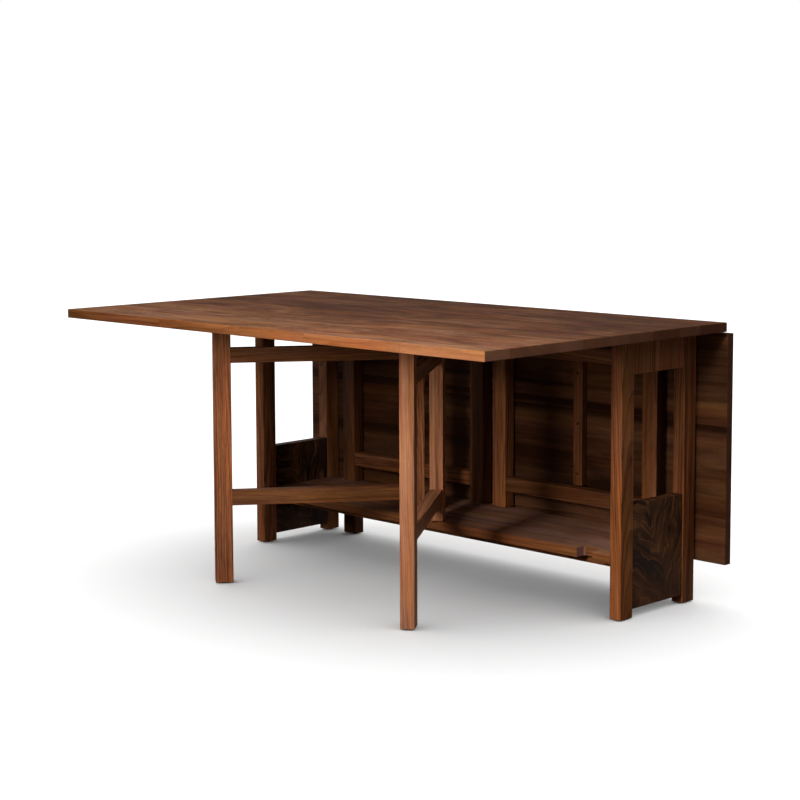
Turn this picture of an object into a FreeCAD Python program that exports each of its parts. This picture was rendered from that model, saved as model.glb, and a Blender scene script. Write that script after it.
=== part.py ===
import FreeCAD, Part
import os
import re

# Gateleg console table: a narrow console with end frames and a low shelf, two wide drop leaves and
# four swinging gates. One leaf is raised on its two open gates, the other hangs before closed ones.
# X runs along the table, the raised leaf points to -Y, Z is up and the floor is at zero.
# Local pieces are drawn in three frames: the console's middle plane at the floor, a gate's pivot
# line with the gate lying along +X, and a leaf's hinge line with the leaf lying along +Y.

# Driving dimensions in millimetres, each with what it measures.
SIZES = {
    "table_height": (762, "floor to the top face"),
    "top_length": (1622, "length of the centre board and the leaves"),
    "top_thick": (25, "thickness of the centre board and the leaves"),
    "centre_width": (322, "width of the centre board"),
    "leaf_width": (620, "width of a leaf"),
    "leaf_gap": (1.5, "joint between the centre board and a raised leaf"),
    "ease_radius": (1.5, "rounding of the board and post edges"),
    "end_overhang": (95, "end of the top past the end frame"),
    "base_setback": (3, "end posts and closed gates behind the long edges of the centre board"),
    "post_thick": (36, "end post, along the table"),
    "post_width": (50, "end post, across the table"),
    "end_rail_height": (97, "rail under the top in each end frame"),
    "panel_low": (25, "floor to the bottom of an end panel"),
    "panel_height": (275, "height of an end panel"),
    "infill_recess": (3, "end rail and panel behind the posts' outer faces"),
    "shelf_top": (172, "floor to the top of the shelf"),
    "shelf_thick": (25, "thickness of the shelf"),
    "shelf_setback": (8, "shelf edge behind the posts' outer faces, between the notches"),
    "notch_room": (4, "room round a closed gate leg in its shelf notch"),
    "notch_radius": (7, "inner corners of a shelf notch"),
    "stretcher_thick": (25, "rail under the shelf, across the table"),
    "stretcher_height": (22, "rail under the shelf, height"),
    "stretcher_inset": (55.5, "outer face of the posts to the rail under the shelf"),
    "gate_thick": (38, "thickness of a gate's leg and pivot post"),
    "gate_width": (50, "width of a gate's leg and pivot post, in the gate's plane"),
    "leg_room": (63.5, "closed gate leg to the end post"),
    "pivot_post_gap": (39, "between the two pivot posts of a side"),
    "gate_rail_thick": (34, "thickness of a gate rail"),
    "gate_rail_height": (42, "height of a gate rail"),
    "upper_rail_drop": (70, "underside of the top to the upper gate rail"),
    "lower_rail_rise": (50, "shelf top to the lower gate rail"),
    "leaf_play": (0.4, "gate leg below the leaf that it carries"),
    "floor_play": (0.3, "gate foot above the floor"),
    "tenon_thick": (12, "thickness of the rail and panel tenons"),
    "tenon_length": (20, "length of the rail and panel tenons"),
    "tenon_shoulder": (6, "shoulder above and below a tenon"),
    "blind_room": (0.5, "room at the end of a tenon, stem, pin or screw"),
    "batten_offset": (320, "table's middle to the middle of a batten"),
    "batten_width": (32, "width of a leaf batten, which stops the open gate leg"),
    "batten_thick": (21, "thickness of a leaf batten"),
    "batten_room": (4, "batten end to the gate rail that it hangs beside"),
    "stop_room": (0.5, "open gate leg to the batten that stops it"),
    "pin_radius": (5, "gate pivot pin"),
    "pin_seat": (30, "length of a pivot pin inside the pivot post"),
    "pin_reach": (12, "length of a pivot pin inside its bush"),
    "running_fit": (0.05, "radial room of every pin that turns"),
    "bush_radius": (8, "body of a pivot bush"),
    "bush_depth": (15, "pivot bush inside the shelf or the centre board"),
    "flange_radius": (13, "flange of a pivot bush"),
    "flange_thick": (1.6, "flange of a pivot bush"),
    "pivot_play": (0.3, "pivot post end to the bush flange"),
    "seat_fit": (0.05, "radial room of a fixed pin, stem or screw in the wood"),
    "glide_radius": (11, "disc of a foot glide"),
    "glide_height": (3, "disc of a foot glide"),
    "stem_radius": (3, "stem of a foot glide"),
    "stem_length": (16, "stem of a foot glide"),
    "knuckle_clear": (0.5, "hinge knuckle below the underside of the top"),
    "hinge_length": (60, "length of a hinge"),
    "inner_hinge_room": (60.5, "pivot post to the hinge beside it"),
    "outer_hinge_room": (56.5, "closed gate leg to the hinge beside it"),
    "plate_width": (34, "hinge line to the outer edge of a hinge plate"),
    "plate_thick": (2, "hinge plate"),
    "plate_gap": (0.4, "hinge line to the inner edge of a hinge plate"),
    "knuckle_radius": (4, "hinge knuckle"),
    "knuckle_length": (20, "middle knuckle of a hinge"),
    "knuckle_room": (0.3, "room between knuckles, and round them"),
    "hinge_pin_radius": (2, "hinge pin"),
    "screw_radius": (1.6, "hinge screw"),
    "screw_head": (3.4, "head of a hinge screw"),
    "screw_length": (15, "hinge screw in the wood"),
    "screw_row": (21, "hinge line to the screws of a plate"),
    "screw_spacing": (40, "between the two screws of a plate"),
    "batten_screw_radius": (2, "batten screw"),
    "batten_screw_head": (4, "head of a batten screw"),
    "batten_head_thick": (3, "head of a batten screw"),
    "batten_screw_bite": (14, "batten screw inside the leaf"),
    "counterbore_depth": (7, "batten face to the screw head"),
    "batten_screw_inset": (33, "batten end to its first and last screw"),
}

# Lengths and angles that follow from the driving dimensions.
DERIVED = {
    "underside": "table_height - top_thick",
    "hinge_drop": "knuckle_radius + knuckle_clear",
    "hinge_y": "(centre_width + leaf_gap) / 2",
    "hinge_z": "underside - hinge_drop",
    "middle_y": "(leaf_width + leaf_gap / 2 - hinge_drop - top_thick) / 2",
    "base_length": "top_length - 2 * end_overhang",
    "base_width": "centre_width - 2 * base_setback",
    "frame_inside": "base_length / 2 - post_thick",
    "infill_span": "base_width - 2 * post_width",
    "infill_thick": "post_thick - infill_recess",
    "pivot_offset": "(pivot_post_gap + gate_width) / 2",
    "pivot_y": "(base_width - gate_thick) / 2",
    "gate_length": "frame_inside - leg_room - gate_width / 2 - pivot_offset",
    "closed_leg_x": "pivot_offset + gate_length",
    "hinge_inner": "pivot_offset + gate_width / 2 + inner_hinge_room + hinge_length / 2",
    "hinge_outer": "closed_leg_x - gate_width / 2 - outer_hinge_room - hinge_length / 2",
    "notch_inner": "closed_leg_x - gate_width / 2 - notch_room",
    "notch_outer": "closed_leg_x + gate_width / 2 + notch_room",
    "notch_back": "base_width / 2 - gate_thick - notch_room",
    "leg_reach": "gate_length - gate_width / 2",
    "stop_x": "batten_offset + batten_width / 2 + stop_room - pivot_offset",
    "corner_reach": "sqrt(leg_reach ^ 2 + gate_thick ^ 2 / 4)",
    "open_angle": "acos(stop_x / corner_reach) - atan(gate_thick / 2 / leg_reach)",
    "pivot_low": "shelf_top + flange_thick + pivot_play",
    "pivot_high": "underside - flange_thick - pivot_play",
    "leg_low": "glide_height + floor_play",
    "leg_high": "underside - leaf_play",
    "upper_rail_low": "underside - upper_rail_drop - gate_rail_height",
    "lower_rail_low": "shelf_top + lower_rail_rise",
    "lower_rail_high": "lower_rail_low + gate_rail_height",
    "batten_near": "hinge_z - upper_rail_low + batten_room",
    "batten_far": "hinge_z - lower_rail_high - batten_room",
    "batten_face": "hinge_drop - batten_thick",
    "plate_face": "hinge_drop - plate_thick",
}

X_AXIS = FreeCAD.Vector(1, 0, 0)
Y_AXIS = FreeCAD.Vector(0, 1, 0)
Z_AXIS = FreeCAD.Vector(0, 0, 1)
SAME_WAY = 1e-6

doc = FreeCAD.newDocument("GatelegConsoleTable")
sheet = doc.addObject("Spreadsheet::Sheet", "Sizes")
for row, (alias, (length, meaning)) in enumerate(SIZES.items(), start=1):
    sheet.set(f"A{row}", alias)
    sheet.set(f"B{row}", str(length))
    sheet.set(f"C{row}", meaning)
    sheet.setAlias(f"B{row}", alias)
doc.recompute()

pieces = []


def formula(text):
    """Write a length in words as an expression on the sheet's cells."""

    def swap(match):
        word = match.group(0)
        if word in DERIVED:
            return f"({formula(DERIVED[word])})"
        if word in SIZES:
            return f"Sizes.{word}"
        return word

    return re.sub(r"[a-z_]+", swap, text)


def bind(thing, **properties):
    """Tie properties of a document object to lengths in words."""
    for name, text in properties.items():
        thing.setExpression(name.replace("__", "."), formula(text))
    return thing


def at(thing, x, y, z):
    """Tie the place of a shape inside its piece."""
    return bind(thing, Placement__Base__x=x, Placement__Base__y=y, Placement__Base__z=z)


def box(x, y, z):
    """A block from its low and high faces along X, Y and Z."""
    block = doc.addObject("Part::Box", "Block")
    spans = [f"({high}) - ({low})" for low, high in (x, y, z)]
    bind(block, Length=spans[0], Width=spans[1], Height=spans[2])
    return at(block, x[0], y[0], z[0])


def rod(radius, span, x="0", y="0"):
    """An upright cylinder between two heights."""
    cylinder = doc.addObject("Part::Cylinder", "Rod")
    bind(cylinder, Radius=radius, Height=f"({span[1]}) - ({span[0]})")
    return at(cylinder, x, y, span[0])


def axle(radius, span):
    """A cylinder on a hinge line, between two places along the table."""
    cylinder = doc.addObject("Part::Cylinder", "Axle")
    cylinder.Placement = FreeCAD.Placement(FreeCAD.Vector(), FreeCAD.Rotation(Y_AXIS, 90))
    bind(cylinder, Radius=radius, Height=f"({span[1]}) - ({span[0]})")
    return at(cylinder, span[0], "0", "0")


def taper(low_radius, high_radius, span, x, y):
    """An upright cone between two heights."""
    cone = doc.addObject("Part::Cone", "Taper")
    bind(cone, Radius1=low_radius, Radius2=high_radius, Height=f"({span[1]}) - ({span[0]})")
    return at(cone, x, y, span[0])


def eased(block, along=None, size="ease_radius"):
    """A block with all its edges rounded, or only those along one direction."""
    doc.recompute()
    radius = float(sheet.get(size))
    chosen = []
    for number, edge in enumerate(block.Shape.Edges, start=1):
        if along is None or edge.tangentAt(edge.FirstParameter).cross(along).Length < SAME_WAY:
            chosen.append((number, radius, radius))
    rounded = doc.addObject("Part::Fillet", "Eased")
    rounded.Base = block
    rounded.Edges = chosen
    return rounded


def joined(*shapes):
    """Several shapes made one solid."""
    fuse = doc.addObject("Part::MultiFuse", "Joined")
    fuse.Shapes = list(shapes)
    return fuse


def without(base, tools):
    """A shape with tools cut out of it."""
    together = doc.addObject("Part::Compound", "Tools")
    together.Links = list(tools)
    cut = doc.addObject("Part::Cut", "Without")
    cut.Base = base
    cut.Tool = together
    return cut


def group(shapes):
    """Equal small parts kept as separate solids of one piece."""
    together = doc.addObject("Part::Compound", "Group")
    together.Links = list(shapes)
    return together


def piece(label, thing, x="0", y="0", z="0", axis=Z_AXIS, turn="0"):
    """Name a finished piece and set its frame in the table."""
    whole = doc.addObject("Part::Compound", label)
    whole.Links = [thing]
    whole.Label = label
    whole.Placement = FreeCAD.Placement(FreeCAD.Vector(), FreeCAD.Rotation(axis, 1))
    at(whole, x, f"middle_y + {y}", z)
    bind(whole, Placement__Rotation__Angle=turn)
    pieces.append(whole)
    return whole


def mirrored(text, side):
    """A length in words, on the plus or the minus side."""
    return text if side > 0 else f"-({text})"


def span(low, high, side):
    """Low and high faces of a pair of lengths, on the plus or the minus side."""
    return (low, high) if side > 0 else (f"-({high})", f"-({low})")


def centred(middle, width):
    """Low and high faces of a width about a middle."""
    return f"{middle} - {width} / 2", f"{middle} + {width} / 2"


def tenoned(length, thick, z):
    """A rail or panel along X with a tenon on each end, centred in thickness."""
    body = eased(box(centred("0", length), centred("0", thick), z), X_AXIS)
    tongue = box(
        centred("0", f"({length} + 2 * tenon_length)"),
        centred("0", "tenon_thick"),
        (f"{z[0]} + tenon_shoulder", f"{z[1]} - tenon_shoulder"),
    )
    return joined(body, tongue)


def mortise(face, inward, z, y="0"):
    """The slot for one tenon, cut from a face along X."""
    depth = "tenon_length + blind_room"
    far = f"{face} + {depth}" if inward > 0 else f"{face} - ({depth})"
    x = (face, far) if inward > 0 else (far, face)
    return box(x, centred(y, "tenon_thick"), (f"{z[0]} + tenon_shoulder", f"{z[1]} - tenon_shoulder"))


def glide(low):
    """A round foot with its stem, standing on the local origin at a height."""
    disc = rod("glide_radius", (low, f"{low} + glide_height"))
    stem = rod("stem_radius", (low, f"{low} + glide_height + stem_length"))
    return joined(disc, stem)


def stem_hole(low, x):
    """The hole for a foot's stem, at a place along X."""
    return rod("stem_radius + seat_fit", (low, f"{low} + glide_height + stem_length + blind_room"), x)


END_RAIL = ("underside - end_rail_height", "underside")
END_PANEL = ("panel_low", "panel_low + panel_height")
UPPER_RAIL = ("upper_rail_low", "upper_rail_low + gate_rail_height")
LOWER_RAIL = ("lower_rail_low", "lower_rail_high")
SIDES = {"left": -1, "right": 1}
EDGES = {"front": -1, "back": 1}
HINGES = [mirrored(place, side) for place in ("hinge_inner", "hinge_outer") for side in (-1, 1)]
RAISED = {"y": "-(hinge_y)", "z": "hinge_z", "turn": "180"}
HANGING = {"y": "hinge_y", "z": "hinge_z", "axis": X_AXIS, "turn": "-90"}
HINGE_LINES = {"front": RAISED, "back": {"y": "hinge_y", "z": "hinge_z"}}

# Side and edge of each gate and its turn about the pivot line: open in front, closed behind.
GATES = {
    "front_left": (-1, -1, "180 deg + open_angle"),
    "front_right": (1, -1, "-(open_angle)"),
    "back_left": (-1, 1, "180"),
    "back_right": (1, 1, "0"),
}


def end_frames():
    """Two posts, a rail and a panel at each end, drawn across the table and turned a quarter."""
    middle = "(base_length - post_thick) / 2"
    inner_face = "infill_span / 2"
    for end, side in SIDES.items():
        x = mirrored(middle, side)
        for edge, way in EDGES.items():
            post = eased(box(span(inner_face, f"{inner_face} + post_width", way),
                             centred("0", "post_thick"), ("glide_height", "underside")))
            offset = mirrored("infill_recess / 2", side)
            slots = [mortise(mirrored(inner_face, way), way, z, offset) for z in (END_RAIL, END_PANEL)]
            hole = stem_hole("0", mirrored(f"{inner_face} + post_width / 2", way))
            piece(f"{end}_{edge}_post", without(post, slots + [hole]), x=x, turn="90")
        for name, z in (("rail", END_RAIL), ("panel", END_PANEL)):
            infill = tenoned("infill_span", "infill_thick", z)
            shift = mirrored("infill_recess / 2", -side)
            piece(f"{end}_end_{name}", infill, x=f"{x} + {shift}", turn="90")


def shelf():
    """The low shelf, notched for the closed gate legs, with its bush holes."""
    z = ("shelf_top - shelf_thick", "shelf_top")
    board = eased(box(("-(frame_inside)", "frame_inside"), centred("0", "base_width"), z), X_AXIS)
    cuts = []
    past = "(base_width / 2 + notch_radius)"
    for way in EDGES.values():
        y = span("base_width / 2 - shelf_setback", past, way)
        cuts.append(box(("-(notch_inner)", "notch_inner"), y, z))
        for side in SIDES.values():
            slot = box(span("notch_inner", "notch_outer", side), span("notch_back", past, way), z)
            cuts.append(eased(slot, Z_AXIS, "notch_radius"))
            cuts.append(rod("bush_radius + seat_fit", ("shelf_top - bush_depth", "shelf_top"),
                            mirrored("pivot_offset", side), mirrored("pivot_y", way)))
    piece("shelf", without(board, [joined(*cuts)]))
    outer = "(base_width / 2 - stretcher_inset)"
    for edge, way in EDGES.items():
        rail = eased(box(("-(frame_inside)", "frame_inside"),
                         span(f"{outer} - stretcher_thick", outer, way),
                         ("shelf_top - shelf_thick - stretcher_height", z[0])), X_AXIS)
        piece(f"{edge}_stretcher", rail)


def screw_places(hinge, side):
    """The two screws of a hinge plate, on one side of the hinge line."""
    y = mirrored("screw_row", side)
    return [(x, y) for x in centred(hinge, "screw_spacing")]


def all_screw_places(side):
    """The screws of all the plates on one side of a hinge line."""
    return [place for hinge in HINGES for place in screw_places(hinge, side)]


def hinge_plates(side):
    """The plates on one side of a hinge line: the fixed ones carry the outer knuckles."""
    plates = []
    depth = ("plate_face", "hinge_drop")
    for hinge in HINGES:
        ends = centred(hinge, "hinge_length")
        core = centred(hinge, "knuckle_length")
        inner = (f"{core[0]} + knuckle_room", f"{core[1]} - knuckle_room")
        flat = box(ends, span("plate_gap", "plate_width", side), depth)
        clear = span("-plate_gap", "knuckle_radius + knuckle_room", side)
        if side > 0:
            own = [axle("knuckle_radius", inner)]
            reliefs = [
                box((f"{ends[0]} - knuckle_room", inner[0]), clear, depth),
                box((inner[1], f"{ends[1]} + knuckle_room"), clear, depth),
            ]
        else:
            own = [axle("knuckle_radius", (ends[0], core[0])), axle("knuckle_radius", (core[1], ends[1]))]
            reliefs = [box(core, clear, depth)]
        holes = [axle("hinge_pin_radius + running_fit", ends)]
        for x, y in screw_places(hinge, side):
            holes.append(taper("screw_head + seat_fit", "screw_radius + seat_fit", depth, x, y))
        plates.append(without(joined(without(flat, reliefs), *own), holes))
    return group(plates)


def hinge_screws(side):
    """Countersunk screws through the plates into the board above."""
    screws = []
    for x, y in all_screw_places(side):
        head = taper("screw_head", "screw_radius", ("plate_face", "hinge_drop"), x, y)
        shank = rod("screw_radius", ("hinge_drop", "hinge_drop + screw_length"), x, y)
        screws.append(joined(head, shank))
    return group(screws)


def screw_holes(side):
    """The holes in a board for its hinge screws."""
    deep = ("hinge_drop", "hinge_drop + screw_length + blind_room")
    return [rod("screw_radius + seat_fit", deep, x, y) for x, y in all_screw_places(side)]


def centre_top():
    """The fixed board, with the holes for its hinge screws and pivot bushes."""
    board = eased(box(centred("0", "top_length"), centred("0", "centre_width"),
                      ("underside", "table_height")))
    holes = []
    for way in EDGES.values():
        for x, y in all_screw_places(-1):
            across = mirrored(f"hinge_y + {y}", way)
            deep = ("underside", "underside + screw_length + blind_room")
            holes.append(rod("screw_radius + seat_fit", deep, x, across))
        for side in SIDES.values():
            holes.append(rod("bush_radius + seat_fit", ("underside", "underside + bush_depth"),
                             mirrored("pivot_offset", side), mirrored("pivot_y", way)))
    piece("centre_top", without(board, holes))


def hinges():
    """Fixed plates, pins and screws on the console, for both leaves."""
    for edge, frame in HINGE_LINES.items():
        piece(f"{edge}_hinge_fixed_plates", hinge_plates(-1), **frame)
        pins = [axle("hinge_pin_radius", centred(hinge, "hinge_length")) for hinge in HINGES]
        piece(f"{edge}_hinge_pins", group(pins), **frame)
        piece(f"{edge}_hinge_fixed_screws", hinge_screws(-1), **frame)


def bush(flange, body):
    """A flanged pivot bush between two heights of flange and body."""
    ring = joined(rod("flange_radius", flange), rod("bush_radius", body))
    through = (f"{body[0]} - flange_thick", f"{body[1]} + flange_thick")
    return without(ring, [rod("pin_radius + running_fit", through)])


def bushes():
    """Bushes for the gate pivots, in the shelf and under the centre board."""
    above_shelf = ("shelf_top", "shelf_top + flange_thick")
    in_shelf = ("shelf_top - bush_depth", "shelf_top")
    below_top = ("underside - flange_thick", "underside")
    in_top = ("underside", "underside + bush_depth")
    for label, flange, body in (("shelf_bushes", above_shelf, in_shelf), ("top_bushes", below_top, in_top)):
        rings = []
        for way in EDGES.values():
            for side in SIDES.values():
                ring = bush(flange, body)
                rings.append(at(ring, mirrored("pivot_offset", side), mirrored("pivot_y", way), "0"))
        piece(label, group(rings))


def console_glides():
    """One foot under each end post."""
    feet = []
    for side in SIDES.values():
        for way in EDGES.values():
            foot = glide("0")
            feet.append(at(foot, mirrored("(base_length - post_thick) / 2", side),
                           mirrored("(base_width - post_width) / 2", way), "0"))
    piece("console_glides", group(feet))


def gates():
    """A leg, a pivot post and two rails for each gate, with pins and a foot."""
    for gate, (side, way, turn) in GATES.items():
        frame = {"x": mirrored("pivot_offset", side), "y": mirrored("pivot_y", way), "turn": turn}
        y = centred("0", "gate_thick")
        inner = "gate_width / 2"
        outer = "leg_reach"
        leg = eased(box(centred("gate_length", "gate_width"), y, ("leg_low", "leg_high")))
        slots = [mortise(outer, 1, z) for z in (UPPER_RAIL, LOWER_RAIL)]
        foot_hole = stem_hole("floor_play", "gate_length")
        piece(f"{gate}_gate_leg", without(leg, slots + [foot_hole]), **frame)
        post = eased(box(centred("0", "gate_width"), y, ("pivot_low", "pivot_high")))
        slots = [mortise(inner, -1, z) for z in (UPPER_RAIL, LOWER_RAIL)]
        seats = [
            rod("pin_radius + seat_fit", ("pivot_low", "pivot_low + pin_seat + blind_room")),
            rod("pin_radius + seat_fit", ("pivot_high - pin_seat - blind_room", "pivot_high")),
        ]
        piece(f"{gate}_gate_pivot_post", without(post, slots + seats), **frame)
        for name, z in (("upper", UPPER_RAIL), ("lower", LOWER_RAIL)):
            rail = tenoned("(gate_length - gate_width)", "gate_rail_thick", z)
            at(rail, "gate_length / 2", "0", "0")
            piece(f"{gate}_gate_{name}_rail", rail, **frame)
        reach = "flange_thick + pivot_play + pin_reach"
        pins = [
            rod("pin_radius", (f"pivot_low - ({reach})", "pivot_low + pin_seat")),
            rod("pin_radius", ("pivot_high - pin_seat", f"pivot_high + {reach}")),
        ]
        piece(f"{gate}_gate_pins", group(pins), **frame)
        foot = glide("floor_play")
        at(foot, "gate_length", "0", "0")
        piece(f"{gate}_gate_glide", foot, **frame)


def batten_screw_places():
    """The three screws of a batten, out from the hinge line."""
    return ("batten_near + batten_screw_inset",
            "(batten_near + batten_far) / 2",
            "batten_far - batten_screw_inset")


def leaves():
    """A board with two screwed battens and its half of the hinges, raised in front, hanging behind."""
    head = ("batten_face + counterbore_depth", "batten_face + counterbore_depth + batten_head_thick")
    for leaf, frame in (("front", RAISED), ("back", HANGING)):
        board = eased(box(centred("0", "top_length"), ("leaf_gap / 2", "leaf_gap / 2 + leaf_width"),
                          ("hinge_drop", "hinge_drop + top_thick")))
        holes = screw_holes(1)
        screws = []
        for end, side in SIDES.items():
            x = mirrored("batten_offset", side)
            bar = eased(box(centred(x, "batten_width"), ("batten_near", "batten_far"),
                            ("batten_face", "hinge_drop")))
            bores = []
            for y in batten_screw_places():
                bores.append(rod("batten_screw_head + seat_fit", ("batten_face", head[1]), x, y))
                bores.append(rod("batten_screw_radius + seat_fit", (head[1], "hinge_drop"), x, y))
                holes.append(rod("batten_screw_radius + seat_fit",
                                 ("hinge_drop", "hinge_drop + batten_screw_bite + blind_room"), x, y))
                shank = rod("batten_screw_radius", (head[0], "hinge_drop + batten_screw_bite"), x, y)
                screws.append(joined(rod("batten_screw_head", head, x, y), shank))
            piece(f"{leaf}_leaf_{end}_batten", without(bar, bores), **frame)
        piece(f"{leaf}_leaf", without(board, holes), **frame)
        piece(f"{leaf}_leaf_batten_screws", group(screws), **frame)
        piece(f"{leaf}_leaf_hinge_plates", hinge_plates(1), **frame)
        piece(f"{leaf}_leaf_hinge_screws", hinge_screws(1), **frame)


def main():
    """Build every piece, check it and write it."""
    centre_top()
    end_frames()
    shelf()
    console_glides()
    bushes()
    hinges()
    gates()
    leaves()
    doc.recompute()
    for thing in doc.Objects:
        if {"Invalid", "Error"} & set(thing.State):
            raise RuntimeError(f"{thing.Label} failed: {thing.State}")
    os.makedirs("parts", exist_ok=True)
    for whole in pieces:
        if whole.Shape.isNull() or not whole.Shape.isValid() or not whole.Shape.Solids:
            raise RuntimeError(f"{whole.Label} has no valid solid")
    for whole in pieces:
        whole.Shape.exportStep(f"parts/{whole.Label}.step")
        print(whole.Label, len(whole.Shape.Solids), round(whole.Shape.Volume))
    print("open angle", sheet.evalExpression(formula("open_angle")))


main()
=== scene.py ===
"""Finishes, fittings and studio of a gateleg console table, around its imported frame."""
import logging
import math
from dataclasses import dataclass, field, replace
from enum import Enum
from functools import reduce
from typing import Iterable, NamedTuple, Optional, Sequence, Union

import bmesh
import bpy
from mathutils import Euler, Matrix, Vector


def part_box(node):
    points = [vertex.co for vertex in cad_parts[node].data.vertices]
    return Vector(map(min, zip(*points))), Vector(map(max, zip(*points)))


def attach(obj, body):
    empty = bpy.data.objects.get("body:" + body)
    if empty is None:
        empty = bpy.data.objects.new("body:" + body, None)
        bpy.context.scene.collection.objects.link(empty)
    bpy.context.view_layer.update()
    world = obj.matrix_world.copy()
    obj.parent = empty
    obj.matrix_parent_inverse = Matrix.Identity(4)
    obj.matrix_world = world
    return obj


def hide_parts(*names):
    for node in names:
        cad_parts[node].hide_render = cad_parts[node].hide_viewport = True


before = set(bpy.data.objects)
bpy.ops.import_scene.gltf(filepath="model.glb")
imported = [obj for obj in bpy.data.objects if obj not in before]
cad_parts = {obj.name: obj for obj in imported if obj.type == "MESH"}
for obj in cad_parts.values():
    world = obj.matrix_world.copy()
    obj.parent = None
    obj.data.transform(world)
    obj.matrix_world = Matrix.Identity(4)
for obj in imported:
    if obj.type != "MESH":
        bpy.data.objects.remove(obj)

LOG = logging.getLogger("gateleg_table")

Colour = tuple[float, float, float]
Stretch = tuple[float, float, float]
Point = tuple[float, float, float]
Span = tuple[float, float]
Socket = bpy.types.NodeSocket
Value = Union[Socket, float, Sequence[float]]

MILLIMETRE = 0.001
MERGE = 0.01 * MILLIMETRE
PLACE_DIGITS = 6
SHARP_ANGLE = math.radians(32)
FULL = (0.0, 1.0)

# Half the top's length, where staves start from a board's middle, and an open gate's swing
HALF_LENGTH = 0.811
STAVE_START = -0.31075
OPEN_SWING = math.radians(53.9276)

# What changes from one lot of wood, or one stave, to the next
TREE_STEP = 1.37
RING_STEP = 0.71
GOLDEN_SHARE = 0.618034
GOLDEN_ANGLE = math.radians(137.5)
LEAN_WAVES = (12.9898, 78.233)
STAVE_SHIFT = (4.0, 0.12, 0.12)

# Cycles per metre of the wood's noises, along the grain and across it
SLOW_WAVER = (1.3, 5.0, 5.0)
QUICK_WAVER = (9.0, 40.0, 40.0)
RING_PATCHES = (1.6, 20.0, 20.0)
VEIN_ZONES = (0.9, 9.0, 9.0)
STREAKS = (2.6, 115.0, 115.0)
FIBRES = (16.0, 640.0, 640.0)
PORES = (60.0, 1300.0, 1300.0)
END_SPECKS = (0.0, 900.0, 900.0)

# Breadth of the fine and the broad growth bands in rings, with their octaves
BANDS = ((2.4, 3.0), (3.4, 1.0))

# Tints that are multiplied over the wood
RUDDY = (1.06, 0.90, 0.82)
GOLDEN_BROWN = (1.06, 1.05, 0.80)
GREY_BROWN = (0.78, 0.79, 0.86)
END_TINT = (1.15, 1.12, 1.38)
HUES = ((0.42, 0.62, RUDDY), (0.46, 0.62, GOLDEN_BROWN), (0.50, 0.66, GREY_BROWN))


class Grain(Enum):
    """How the length of the wood lies in the row frame, as the turn that brings it to X."""

    ALONG = (0.0, 0.0, 0.0)
    ACROSS = (0.0, 0.0, -math.pi / 2)
    UPRIGHT = (0.0, math.pi / 2, 0.0)
    HANGING = (-math.pi / 2, 0.0, 0.0)

    def turn(self, swing: float = 0.0, lean: Span = (0.0, 0.0)) -> Euler:
        """The turn for a piece swung about an upright line, whose grain leans out of its length."""
        about_x, about_y, about_z = self.value
        return Euler((about_x, about_y + lean[1], about_z - swing + lean[0]), "XYZ")


class Axis(Enum):
    """The directions of a board: along the grain, across it and through the board."""

    LENGTH = (1.0, 0.0, 0.0)
    WIDTH = (0.0, 1.0, 0.0)
    THICKNESS = (0.0, 0.0, 1.0)


class Side(Enum):
    """The two ends of the table."""

    LEFT = "left"
    RIGHT = "right"


class Edge(Enum):
    """The two long edges of the centre board."""

    FRONT = "front"
    BACK = "back"


class Facing(Enum):
    """Which way the heads of a set of screws look, as the turn from a screw drawn head down."""

    DOWN = 0.0
    FORWARD = -math.pi / 2


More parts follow.
